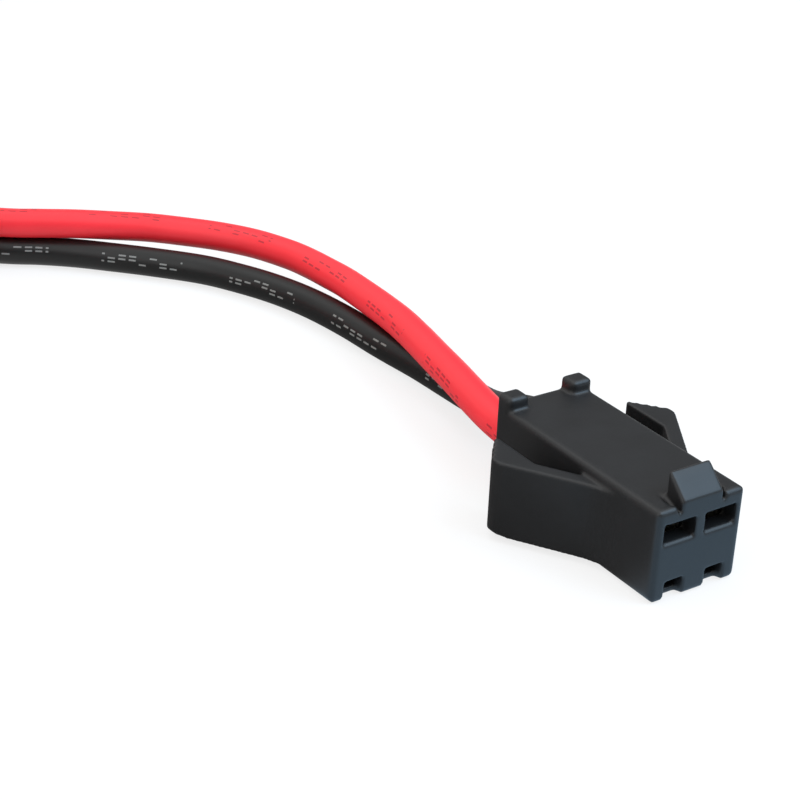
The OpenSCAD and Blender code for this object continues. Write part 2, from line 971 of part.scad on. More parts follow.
// Outer moulding: grip, finger grooves and strain relief in one piece
module plug_grip() {
    color(pvc_black)
        at_plug()
            difference() {
                union() {
                    grip_body();
                    stem();
                }
                inner_block();
                translate([-shell_in, 0, 0])
                    from_front(shell_in + shell_out)
                        shell_outline(0);
                wire_bores(inner_end - past, grip_len + stem_len + past);
                for (i = [0:grooves - 1])
                    for (side = [-1, 1])
                        translate([-first_groove - i * groove_pitch - groove_w,
                            side * (grip_w / 2 - groove_deep + past) - past, -grip_h])
                            cube([groove_w, 2 * past, 2 * grip_h]);
            }
}

housing();
red_terminal();
black_terminal();
red_strand_end();
black_strand_end();
red_wire();
black_wire();
wire_coil();
cable_tie();
red_tail();
black_tail();
plug_shell();
plug_insulator();
power_contact();
data_minus_contact();
data_plus_contact();
ground_contact();
plug_inner_mould();
plug_grip();
red_plug_strands();
black_plug_strands();
power_solder();
ground_solder();
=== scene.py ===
"""A power lead with a small winged plug on red and black wires, lying on a pale floor.

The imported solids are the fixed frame. The wires, the moulded bodies and every finish are made around them.
"""
import json
import math

import bmesh
import bpy
from bpy.props import FloatProperty, FloatVectorProperty, IntProperty, PointerProperty
from mathutils import Matrix, Vector

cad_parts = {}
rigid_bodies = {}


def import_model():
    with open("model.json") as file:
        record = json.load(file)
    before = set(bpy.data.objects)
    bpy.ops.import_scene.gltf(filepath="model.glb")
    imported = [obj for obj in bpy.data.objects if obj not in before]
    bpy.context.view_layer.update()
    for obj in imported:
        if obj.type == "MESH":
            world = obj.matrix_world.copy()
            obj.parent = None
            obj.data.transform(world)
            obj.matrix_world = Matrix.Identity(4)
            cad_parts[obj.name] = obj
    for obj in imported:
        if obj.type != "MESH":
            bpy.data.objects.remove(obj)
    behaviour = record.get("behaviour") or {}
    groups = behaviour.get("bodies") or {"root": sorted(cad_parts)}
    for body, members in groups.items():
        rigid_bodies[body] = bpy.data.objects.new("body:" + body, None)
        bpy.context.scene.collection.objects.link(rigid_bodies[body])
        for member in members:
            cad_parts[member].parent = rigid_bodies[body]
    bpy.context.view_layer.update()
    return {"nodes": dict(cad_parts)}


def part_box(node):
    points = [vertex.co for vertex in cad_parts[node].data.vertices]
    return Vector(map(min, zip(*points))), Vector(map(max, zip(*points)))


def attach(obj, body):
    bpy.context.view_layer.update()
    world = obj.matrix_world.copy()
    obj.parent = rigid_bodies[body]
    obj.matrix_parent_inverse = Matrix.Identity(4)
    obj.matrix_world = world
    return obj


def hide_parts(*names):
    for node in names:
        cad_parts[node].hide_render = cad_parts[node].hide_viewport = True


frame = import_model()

bl_info = {
    "name": "Power lead",
    "version": (1, 0, 0),
    "blender": (4, 5, 0),
    "location": "3D View > Sidebar > Power lead",
    "description": "Dresses the packed power lead: wires, moulded plugs, metal parts and a studio",
    "category": "Object",
}

MM = 0.001
BODY = "root"
WHITE = (1, 1, 1)

# Read from the frame: the housing's rear and the coil's middle, in millimetres
REAR_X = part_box("housing")[0].x / MM
COIL_LOW, COIL_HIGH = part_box("wire_coil")
COIL_MID = ((COIL_LOW + COIL_HIGH) / 2) / MM

# Wire routes in millimetres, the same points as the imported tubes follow
PITCH = 2.5
WIRE_Z = 2.835
WIRE_START_X = -2.825
RED_ROUTE = [
    (WIRE_START_X, -PITCH / 2, WIRE_Z),
    (REAR_X, -PITCH / 2, WIRE_Z),
    (-8.6, -1.1, 2.87),
    (-11.2, -0.65, 2.9),
    (-13.6, -0.15, 2.9),
    (-16, 0.3, 2.9),
    (-18.6, 0.8, 2.9),
    (-21.1, 1.2, 2.9),
    (-23.6, 1.5, 2.8),
    (-25.9, 1.7, 2.7),
    (-28.3, 1.85, 2.6),
    (-30.3, 1.75, 2.55),
    (-32.3, 1.6, 2.5),
    (-34.2, 1.2, 2.5),
    (-36.8, 0.2, 2.5),
    (-39, -1.2, 2.5),
    (-40.8, -2.95, 2.55),
    (-42.4, -4.75, 2.6),
    (-43.6, -6.8, 2.7),
    (-44.6, -8.9, 2.85),
    (-45.7, -10.9, 2.87),
    (-46.9, -12.9, 2.87),
    (-49.8, -16.4, 2.87),
    (-53, -19.3, 2.87),
    (-56.3, -22.3, 2.87),
]
BLACK_ROUTE = [
    (WIRE_START_X, PITCH / 2, WIRE_Z),
    (REAR_X, PITCH / 2, WIRE_Z),
    (-8.4, 1.2, 2.6),
    (-10.2, 1.1, 2),
    (-11.9, 1.15, 1.5),
    (-13.9, 1.4, 1.15),
    (-16.5, 1.5, 0.96),
    (-19.3, 1.35, 0.96),
    (-22.7, 1, 0.96),
    (-26.4, 0.75, 0.96),
    (-29.9, 0.25, 0.96),
    (-32.9, -0.6, 0.96),
    (-35.5, -1.75, 0.96),
    (-37.9, -3.15, 0.96),
    (-40.5, -5.4, 0.96),
    (-42.5, -7.35, 0.96),
    (-44.2, -9.1, 0.96),
    (-45.7, -11, 0.96),
    (-47, -13, 0.96),
    (-49.8, -16.4, 0.96),
    (-53, -19.3, 0.96),
    (-56.3, -22.3, 0.96),
]
PLUG_LEAD_Z = 4.15
LEAD_HALF_GAP = 1.025
STEM_END_X = -43
STRIP_END_X = -23.5
PLUG_Y = -55
RED_TAIL = [
    (-62, -35.5, 6.15),
    (-62.7, -39, 4.1),
    (-62.4, -42.6, 2.2),
    (-61.7, -46.8, 0.96),
    (-59.6, -51, 0.96),
    (-56, -54.3, 0.96),
    (-51.6, -55.9, 1.4),
    (-47.3, -56.05, 2.8),
    (STEM_END_X, PLUG_Y - LEAD_HALF_GAP, PLUG_LEAD_Z),
    (STRIP_END_X, PLUG_Y - LEAD_HALF_GAP, PLUG_LEAD_Z),
]
BLACK_TAIL = [
    (-61, -35.5, 4.3),
    (-60.9, -39, 2.9),
    (-60.4, -42.5, 1.5),
    (-59.3, -46.2, 0.96),
    (-57.2, -49.8, 0.96),
    (-54.2, -52.5, 0.96),
    (-50.6, -53.7, 1.4),
    (-47.2, -53.95, 2.8),
    (STEM_END_X, PLUG_Y + LEAD_HALF_GAP, PLUG_LEAD_Z),
    (STRIP_END_X, PLUG_Y + LEAD_HALF_GAP, PLUG_LEAD_Z),
]

# The coil: both wires wind inwards in the lower rows, rise, and wind outwards in the upper rows
COIL_ENTRY_TURN = 149
COIL_EXIT_TURN = 180
COIL_TURNS = 3
COIL_ENTRY_R = 12.3
COIL_EXIT_R = 12.45
COIL_INNER_R = 6.6
RISE_TURN = 90
ROW_RISE = 1.9
COIL_STEP = 10

# Where the tie's strap runs under the coil, the turns lie this much higher
TIE_TURN = 300
TIE_LIFT = 0.52
TIE_FLAT = 20
TIE_SLOPE = 50

# Marks on the wires: strokes on three rails, in cells along the wire and in loose groups
CELL_MM = 0.72
CELL_INKED = 0.68
RAILS = 3
RAIL_MM = 0.24
STROKE_MM = 0.11
GROUP_INKED = 0.6
INK_COVER = 0.8
SECOND_DRAW = 40

# The floor as reflections show it, in millimetres, with painted shade and light. A painted shade of the plug
# lies round SHADE_AT, measured with x squeezed, and a painted pool of cool window light lies ahead of the
# plug's face, on the window's side. Each is full within its radius and gone at PATCH_END times that.
SHADE_SQUEEZE = (0.6, 1, 0)
SHADE_AT = (-4.5, -6, 0)
SHADE_R = 12
SHADE_LEFT = 0.2
COOL_AT = (14, 4, 0)
COOL_R = 16
COOL_LEVEL = 1.3
COOL_FROM_X = 3
COOL_FULL_X = 7
PATCH_END = 2.5

# How much of the floor's white to the eye is its own glow; the rest takes the shadow
EYE_WHITE = 0.78

# Rolled metal's grain is drawn out along x by this scale
ROLLED = (0.12, 1.0, 1.0)

# Sheet edges are rounded in so many steps, where faces meet at more than so many degrees
EDGE_STEPS = 2
EDGE_TURN = 40


def linear(hex_colour):
    """Linear RGB of an sRGB hex colour."""
    parts = [int(hex_colour[i:i + 2], 16) / 255 for i in (1, 3, 5)]
    return tuple(c / 12.92 if c <= 0.04045 else ((c + 0.055) / 1.055) ** 2.4 for c in parts)


class WireSettings(bpy.types.PropertyGroup):
    """The two insulated wires."""

    diameter: FloatProperty(
        name="Diameter", description="Outside diameter of each insulated wire",
        default=1.9 * MM, unit="LENGTH", subtype="DISTANCE", precision=5)
    red: FloatVectorProperty(
        name="Red vinyl", description="Colour of the red insulation",
        default=linear("#F92E38"), subtype="COLOR", min=0, max=1)
    black: FloatVectorProperty(
        name="Black vinyl", description="Colour of the black insulation",
        default=linear("#10100F"), subtype="COLOR", min=0, max=1)
    red_ink: FloatVectorProperty(
        name="Ink on red", description="Colour of the plain marks on the red wire",
        default=linear("#A81C29"), subtype="COLOR", min=0, max=1)
    black_ink: FloatVectorProperty(
        name="Ink on black", description="Colour of the plain marks on the black wire",
        default=linear("#8A8A86"), subtype="COLOR", min=0, max=1)
    sides: IntProperty(
        name="Sides", description="Faces round each wire", default=24, min=8, max=48)
    ring_step: FloatProperty(
        name="Ring step", description="Distance between the rings of each wire",
        default=0.4 * MM, unit="LENGTH", subtype="DISTANCE", precision=5)


class HousingSettings(bpy.types.PropertyGroup):
    """The small plug's housing and the tie."""

    nylon: FloatVectorProperty(
        name="Black nylon", description="Colour of the moulded nylon",
        default=linear("#181819"), subtype="COLOR", min=0, max=1)
    cell: FloatProperty(
        name="Softening cell", description="Cell of the mesh that softens the moulded edges",
        default=0.09 * MM, unit="LENGTH", subtype="DISTANCE", precision=5)
    passes: IntProperty(
        name="Housing passes", description="How often the housing's soft mesh is smoothed",
        default=4, min=0, max=20)
    tie_passes: IntProperty(
        name="Tie passes", description="How often the tie's soft mesh is smoothed",
        default=2, min=0, max=20)


class PlugSettings(bpy.types.PropertyGroup):
    """The power plug on the far end."""

    grip: FloatVectorProperty(
        name="Grip vinyl", description="Colour of the moulded grip",
        default=linear("#222223"), subtype="COLOR", min=0, max=1)
    cell: FloatProperty(
        name="Softening cell", description="Cell of the mesh that softens the grip's edges",
        default=0.16 * MM, unit="LENGTH", subtype="DISTANCE", precision=5)
    passes: IntProperty(
        name="Grip passes", description="How often the grip's soft mesh is smoothed",
        default=3, min=0, max=20)
    shell_edge: FloatProperty(
        name="Sheet edge", description="Rounding on the edges of the shell's sheet metal",
        default=0.06 * MM, unit="LENGTH", subtype="DISTANCE", precision=5)


class StageSettings(bpy.types.PropertyGroup):
    """Camera, floor and lights."""

    lens: FloatProperty(
        name="Lens", description="Focal length on a 36 mm sensor", default=81.0, unit="CAMERA")
    floor: FloatVectorProperty(
        name="Floor", description="Colour of the floor to the eye",
        default=linear("#F6F6F6"), subtype="COLOR", min=0, max=1)
    floor_bounce: FloatVectorProperty(
        name="Floor bounce", description="Colour of the floor in the light that it throws back",
        default=linear("#DCDCDC"), subtype="COLOR", min=0, max=1)
    cool: FloatVectorProperty(
        name="Cool light", description="Colour of the window panel ahead of the small plug",
        default=linear("#BEE2FF"), subtype="COLOR", min=0, max=1)
    sky: FloatProperty(
        name="Sky", description="Strength of the even light from all round", default=0.27, min=0, max=2)


def join(tree, node, links):
    """Links a node's inputs to other nodes, or sets them."""
    for socket, value in links.items():
        if isinstance(value, bpy.types.NodeSocket):
            tree.links.new(value, node.inputs[socket])
        else:
            node.inputs[socket].default_value = value


def add(tree, kind, links=None, **settings):
    """A new shader node with its settings, and with its inputs linked or set."""
    node = tree.nodes.new("ShaderNode" + kind)
    for name, value in settings.items():
        setattr(node, name, value)
    join(tree, node, links or {})
    return node


def start_material(name):
    """An empty material with its surface shader and its place in the part's own metres."""
    material = bpy.data.materials.new(name)
    material.use_nodes = True
    tree = material.node_tree
    tree.nodes.clear()
    shader = add(tree, "BsdfPrincipled")
    add(tree, "OutputMaterial", {"Surface": shader.outputs["BSDF"]})
    place = add(tree, "TexCoord").outputs["Object"]
    return material, tree, shader, place


def per_mm(size):
    """Texture scale at which a pattern repeats about every so many millimetres."""
    return 1 / (size * MM)


def colour(rgb):
    """A colour socket's value."""
    return (*rgb, 1)


def shade(rgb, factor):
    """The same colour, lighter or darker."""
    return colour([min(1, c * factor) for c in rgb])


def moulded_nylon(rgb):
    """Black nylon 66, injection moulded: a dull skin with fine spark-eroded grain and faint flow marks.

    A real grain would be too fine to show, so it is drawn coarser.
    """
    material, tree, shader, place = start_material("moulded_black_nylon")
    flow = add(tree, "TexNoise", {"Vector": place, "Scale": per_mm(2.4), "Detail": 3.0, "Roughness": 0.55})
    grain = add(tree, "TexNoise", {"Vector": place, "Scale": per_mm(0.12), "Detail": 2.0})
    tint = add(tree, "MapRange", {"Value": flow.outputs["Fac"], "From Min": 0.3, "From Max": 0.7})
    mixed = add(tree, "Mix", {"Factor": tint.outputs["Result"], "A": shade(rgb, 0.85),
                              "B": shade(rgb, 1.2)}, data_type="RGBA")
    rough = add(tree, "MapRange", {"Value": flow.outputs["Fac"], "To Min": 0.4, "To Max": 0.5})
    waves = add(tree, "Bump", {"Height": flow.outputs["Fac"], "Strength": 0.08, "Distance": 0.25 * MM})
    bump = add(tree, "Bump", {"Height": grain.outputs["Fac"], "Strength": 0.1, "Distance": 0.02 * MM,
                              "Normal": waves.outputs["Normal"]})
    join(tree, shader, {"Base Color": mixed.outputs["Result"], "Roughness": rough.outputs["Result"],
                        "Normal": bump.outputs["Normal"], "IOR": 1.48})
    return material


def grained_vinyl(rgb):
    """Soft vinyl moulded over the power plug: matt, with a fine even grain that breaks up the shine."""
    material, tree, shader, place = start_material("moulded_black_vinyl")
    grain = add(tree, "TexVoronoi", {"Vector": place, "Scale": per_mm(0.28)}, feature="SMOOTH_F1")
    cloud = add(tree, "TexNoise", {"Vector": place, "Scale": per_mm(4.0), "Detail": 3.0})
    mixed = add(tree, "Mix", {"Factor": cloud.outputs["Fac"], "A": shade(rgb, 0.85),
                              "B": shade(rgb, 1.2)}, data_type="RGBA")
    rough = add(tree, "MapRange", {"Value": cloud.outputs["Fac"], "To Min": 0.5, "To Max": 0.64})
    bump = add(tree, "Bump", {"Height": grain.outputs["Distance"], "Strength": 0.22, "Distance": 0.03 * MM})
    join(tree, shader, {"Base Color": mixed.outputs["Result"], "Roughness": rough.outputs["Result"],
                        "Normal": bump.outputs["Normal"], "IOR": 1.54})
    return material


def wire_vinyl(name, rgb, ink, seed, group_mm):
    """Extruded vinyl insulation: smooth and softly glossy, with faint waves and a line of plain ink bars.

    The bars are short strokes on three rails in loose groups, and spell nothing.
    """
    material, tree, shader, place = start_material(name)
    along = add(tree, "UVMap", uv_map="wire")
    split = add(tree, "SeparateXYZ", {"Vector": along.outputs["UV"]})
    run, turn = split.outputs["X"], split.outputs["Y"]
    waves = add(tree, "TexNoise", {"Vector": place, "Scale": per_mm(3.0), "Detail": 2.0})
    tint = add(tree, "Mix", {"Factor": waves.outputs["Fac"], "A": shade(rgb, 0.94), "B": shade(rgb, 1.06)},
               data_type="RGBA")
    cell = add(tree, "Math", {0: run, 1: CELL_MM}, operation="DIVIDE")
    index = add(tree, "Math", {0: cell.outputs[0]}, operation="FLOOR")
    spot = add(tree, "Math", {0: cell.outputs[0]}, operation="FRACT")
    in_cell = add(tree, "Math", {0: spot.outputs[0], 1: 0.5, 2: CELL_INKED / 2}, operation="COMPARE")
    strokes = []
    for draw_seed in (seed, seed + SECOND_DRAW):
        ticket = add(tree, "Math", {0: index.outputs[0], 1: draw_seed}, operation="ADD")
        chance = add(tree, "TexWhiteNoise", {"W": ticket.outputs[0]}, noise_dimensions="1D")
        pick = add(tree, "Math", {0: chance.outputs["Value"], 1: RAILS}, operation="MULTIPLY")
        rail = add(tree, "Math", {0: pick.outputs[0]}, operation="FLOOR")
        lift = add(tree, "Math", {0: rail.outputs[0], 1: RAIL_MM, 2: -RAIL_MM}, operation="MULTIPLY_ADD")
        on_rail = add(tree, "Math", {0: turn, 1: lift.outputs[0], 2: STROKE_MM / 2}, operation="COMPARE")
        strokes.append(on_rail.outputs[0])
    bars = add(tree, "Math", {0: strokes[0], 1: strokes[1]}, operation="MAXIMUM")
    group = add(tree, "Math", {0: run, 1: group_mm}, operation="DIVIDE")
    group_spot = add(tree, "Math", {0: group.outputs[0]}, operation="FRACT")
    in_group = add(tree, "Math", {0: group_spot.outputs[0], 1: GROUP_INKED}, operation="LESS_THAN")
    bar = add(tree, "Math", {0: bars.outputs[0], 1: in_cell.outputs[0]}, operation="MULTIPLY")
    printed = add(tree, "Math", {0: bar.outputs[0], 1: in_group.outputs[0]}, operation="MULTIPLY")
    cover = add(tree, "Math", {0: printed.outputs[0], 1: INK_COVER}, operation="MULTIPLY")
    painted = add(tree, "Mix", {"Factor": cover.outputs[0], "A": tint.outputs["Result"], "B": colour(ink)},
                  data_type="RGBA")
    rough = add(tree, "MapRange", {"Value": waves.outputs["Fac"], "To Min": 0.34, "To Max": 0.46})
    bump = add(tree, "Bump", {"Height": waves.outputs["Fac"], "Strength": 0.15, "Distance": 0.06 * MM})
    join(tree, shader, {"Base Color": painted.outputs["Result"], "Roughness": rough.outputs["Result"],
                        "Normal": bump.outputs["Normal"], "IOR": 1.45})
    return material


def metal(name, rgb, roughness, grain_mm, depth_mm):
    """Sheet or drawn metal: its colour, a rolled grain and a little change in polish.

    Real rolling lines would be too fine to show, so they are drawn coarser.
    """
    material, tree, shader, place = start_material(name)
    stretch = add(tree, "Mapping", {"Vector": place, "Scale": ROLLED})
    grain = add(tree, "TexNoise", {"Vector": stretch.outputs["Vector"], "Scale": per_mm(grain_mm),
                                   "Detail": 4.0})
    cloud = add(tree, "TexNoise", {"Vector": place, "Scale": per_mm(2.5), "Detail": 2.0})
    mixed = add(tree, "Mix", {"Factor": cloud.outputs["Fac"], "A": shade(rgb, 0.9),
                              "B": shade(rgb, 1.06)}, data_type="RGBA")
    rough = add(tree, "MapRange", {"Value": grain.outputs["Fac"], "To Min": roughness * 0.8,
                                   "To Max": roughness * 1.3})
    bump = add(tree, "Bump", {"Height": grain.outputs["Fac"], "Strength": 0.2, "Distance": depth_mm * MM})
    join(tree, shader, {"Base Color": mixed.outputs["Result"], "Roughness": rough.outputs["Result"],
                        "Normal": bump.outputs["Normal"], "Metallic": 1.0})
    return material


def moulded_resin(name, rgb, roughness):
    """Filled insulating resin: an opaque, slightly waxy moulding with faint clouding."""
    material, tree, shader, place = start_material(name)
    cloud = add(tree, "TexNoise", {"Vector": place, "Scale": per_mm(1.5), "Detail": 3.0})
    mixed = add(tree, "Mix", {"Factor": cloud.outputs["Fac"], "A": shade(rgb, 0.93),
                              "B": shade(rgb, 1.03)}, data_type="RGBA")
    bump = add(tree, "Bump", {"Height": cloud.outputs["Fac"], "Strength": 0.1, "Distance": 0.05 * MM})
    join(tree, shader, {"Base Color": mixed.outputs["Result"], "Normal": bump.outputs["Normal"],
                        "Roughness": roughness, "IOR": 1.5})
    return material


def pale_floor(rgb, bounce, cool):
    """Matt white board: nearly white to the eye, with a soft shadow.

    In reflections it glows white, with a painted shade of the plug and a painted pool of cool window light
    on it.
    """
    material, tree, shader, place = start_material("matt_white_board")
    path = add(tree, "LightPath")
    shown = add(tree, "Mix", {"Factor": path.outputs["Is Camera Ray"], "A": colour(bounce),
                              "B": colour(rgb)}, data_type="RGBA")
    join(tree, shader, {"Base Color": shown.outputs["Result"], "Roughness": 0.9, "Specular IOR Level": 0.1})
    # Painted shade: in reflections the floor's glow is darker round the plug, down to SHADE_LEFT
    squeezed = add(tree, "VectorMath", {0: place, 1: SHADE_SQUEEZE}, operation="MULTIPLY")
    from_shade = add(tree, "VectorMath", {0: squeezed.outputs["Vector"], 1: Vector(SHADE_AT) * MM},
                     operation="DISTANCE")
    painted_shade_level = add(tree, "MapRange", {"Value": from_shade.outputs["Value"], "From Min": SHADE_R * MM,
                                        "From Max": PATCH_END * SHADE_R * MM, "To Min": SHADE_LEFT,
                                        "To Max": 1.0}, interpolation_type="SMOOTHSTEP")
    at = add(tree, "SeparateXYZ", {"Vector": place})
    # Painted light: a pool of cool window light ahead of the plug's face, glowing brighter than white
    past_face = add(tree, "MapRange", {"Value": at.outputs["X"], "From Min": COOL_FROM_X * MM,
                                       "From Max": COOL_FULL_X * MM}, interpolation_type="SMOOTHSTEP")
    from_cool = add(tree, "VectorMath", {0: place, 1: Vector(COOL_AT) * MM}, operation="DISTANCE")
    close = add(tree, "MapRange", {"Value": from_cool.outputs["Value"], "From Min": COOL_R * MM,
                                   "From Max": PATCH_END * COOL_R * MM, "To Min": 1.0, "To Max": 0.0},
                interpolation_type="SMOOTHSTEP")
    cooled = add(tree, "Math", {0: past_face.outputs["Result"], 1: close.outputs["Result"]},
                 operation="MULTIPLY")
    level = add(tree, "Mix", {"Factor": cooled.outputs[0], "A": painted_shade_level.outputs["Result"],
                              "B": COOL_LEVEL}, data_type="FLOAT")
    tone = add(tree, "Mix", {"Factor": cooled.outputs[0], "A": colour(WHITE), "B": colour(cool)},
               data_type="RGBA")
    mirrored = add(tree, "Math", {0: path.outputs["Is Glossy Ray"], 1: path.outputs["Is Transmission Ray"]},
                   operation="MAXIMUM")
    plain = add(tree, "Emission", {"Color": colour(WHITE), "Strength": 1.0})
    # The painted reflection: the floor's glow with its painted shade and its painted pool of light
    drawn = add(tree, "Emission", {"Color": tone.outputs["Result"], "Strength": level.outputs["Result"]})
    to_eye = add(tree, "Math", {0: path.outputs["Is Camera Ray"], 1: EYE_WHITE}, operation="MULTIPLY")
    seen = add(tree, "MixShader", {0: to_eye.outputs[0], 1: shader.outputs[0], 2: plain.outputs[0]})
    mix = add(tree, "MixShader", {0: mirrored.outputs[0], 1: seen.outputs[0], 2: drawn.outputs[0]})
    output = next(n for n in tree.nodes if n.type == "OUTPUT_MATERIAL")
    join(tree, output, {"Surface": mix.outputs[0]})
    return material


def dress(material, *names):
    """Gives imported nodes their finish."""
    for name in names:
        mesh = frame["nodes"][name].data
        mesh.materials.clear()
        mesh.materials.append(material)


def new_piece(name, mesh, material):
    """A piece that rides on the part and takes the finish that it is given."""
    piece = bpy.data.objects.new(name, mesh)
    bpy.context.scene.collection.objects.link(piece)
    mesh.materials.clear()
    mesh.materials.append(material)
    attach(piece, BODY)
    return piece


def apply_modifiers(piece):
    """Makes the modified shape the piece's own mesh."""
    graph = bpy.context.evaluated_depsgraph_get()
    mesh = bpy.data.meshes.new_from_object(piece.evaluated_get(graph))
    piece.modifiers.clear()
    piece.data = mesh


def rounded_edges(node, width):
    """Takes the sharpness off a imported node's edges, without touching its mesh."""
    bevel = frame["nodes"][node].modifiers.new("Edges", "BEVEL")
    bevel.width = width
    bevel.segments = EDGE_STEPS
    bevel.limit_method = "ANGLE"
    bevel.angle_limit = math.radians(EDGE_TURN)
    bevel.harden_normals = True


def softened(node, name, cell, passes, material):
    """A copy of a moulded node with its sharp edges softened, as a mould leaves them."""
    piece = new_piece(name, frame["nodes"][node].data.copy(), material)
    remesh = piece.modifiers.new("Soften", "REMESH")
    remesh.mode = "VOXEL"
    remesh.voxel_size = cell
    smooth = piece.modifiers.new("Smooth", "SMOOTH")
    smooth.factor = 0.5
    smooth.iterations = passes
    apply_modifiers(piece)
    piece.data.shade_smooth()
    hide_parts(node)
    return piece


def smooth_step(t):
    """Eases from 0 to 1."""
    t = min(1, max(0, t))
    return t * t * (3 - 2 * t)


def coil_points(height):
    """Points of one wire's turns, whose lowest row is at that height."""
    points = []
    inward = 360 * COIL_TURNS
    outward = 360 * COIL_TURNS - RISE_TURN + COIL_EXIT_TURN - COIL_ENTRY_TURN
    whole = inward + RISE_TURN + outward
    steps = round(whole / COIL_STEP)
    for i in range(steps + 1):
        turned = whole * i / steps
        if turned < inward:
            radius = COIL_ENTRY_R + (COIL_INNER_R - COIL_ENTRY_R) * turned / inward
        else:
            share = max(0, turned - inward - RISE_TURN) / outward
            radius = COIL_INNER_R + (COIL_EXIT_R - COIL_INNER_R) * share
        rise = 2 * ROW_RISE * smooth_step((turned - inward) / RISE_TURN)
        angle = COIL_ENTRY_TURN + turned
        from_tie = abs((angle - TIE_TURN + 180) % 360 - 180)
        over_tie = TIE_LIFT * smooth_step((TIE_SLOPE - from_tie) / (TIE_SLOPE - TIE_FLAT))
        a = math.radians(angle)
        points.append((COIL_MID.x + radius * math.cos(a), COIL_MID.y + radius * math.sin(a),
                       height + rise + over_tie))
    return points


def smooth_line(points, step):
    """An evenly spaced line through the points, curved between them."""
    points = [Vector(p) * MM for p in points]
    ends = [2 * points[0] - points[1], *points, 2 * points[-1] - points[-2]]
    fine = []
    for a, b, c, d in zip(ends, ends[1:], ends[2:], ends[3:]):
        pieces = max(2, math.ceil((c - b).length / step) * 2)
        for i in range(pieces):
            t = i / pieces
            fine.append(0.5 * (2 * b + (c - a) * t + (2 * a - 5 * b + 4 * c - d) * t ** 2
                               + (3 * b - a - 3 * c + d) * t ** 3))
    fine.append(points[-1])
    line, left = [fine[0]], step
    for a, b in zip(fine, fine[1:]):
        length = (b - a).length
        while left <= length:
            line.append(a.lerp(b, left / length))
            left += step
        left -= length
    line.append(fine[-1])
    return line


def wire_mesh(name, line, diameter, sides, first_turn, twist):
    """A round tube along a line.

    Its map holds the run along the wire and the way round it from the line of marks, in millimetres. The
    marks start so many degrees round and turn by the twist, in degrees a millimetre.
    """
    mesh = bpy.data.meshes.new(name)
    work = bmesh.new()
    layer = work.loops.layers.uv.new("wire")
    radius = diameter / 2
    rings = []
    runs = [0.0]
    for a, b in zip(line, line[1:]):
        runs.append(runs[-1] + (b - a).length)
    for i, at in enumerate(line):
        along = (line[min(i + 1, len(line) - 1)] - line[max(i - 1, 0)]).normalized()
        side = Vector((0, 0, 1)).cross(along).normalized()
        up = along.cross(side)
        ring = []
        for k in range(sides):
            q = 2 * math.pi * k / sides
            ring.append(work.verts.new(at + radius * (math.cos(q) * side + math.sin(q) * up)))
        rings.append(ring)
    for i in range(len(rings) - 1):
        for k in range(sides):
            face = work.faces.new((rings[i][k], rings[i][(k + 1) % sides], rings[i + 1][(k + 1) % sides],
                                   rings[i + 1][k]))
            face.smooth = True
            for loop, (ring, step) in zip(face.loops, ((i, k), (i, k + 1), (i + 1, k + 1), (i + 1, k))):
                centre = math.radians(first_turn + twist * runs[ring] / MM)
                turn = 2 * math.pi * step / sides - centre
                middle = 2 * math.pi * (k + 0.5) / sides - centre
                turn -= 2 * math.pi * round(middle / (2 * math.pi))
                loop[layer].uv = (runs[ring] / MM, turn * radius / MM)
    work.faces.new(rings[0][::-1])
    work.faces.new(rings[-1])
    bmesh.ops.recalc_face_normals(work, faces=work.faces)
    work.to_mesh(mesh)
    work.free()
    return mesh


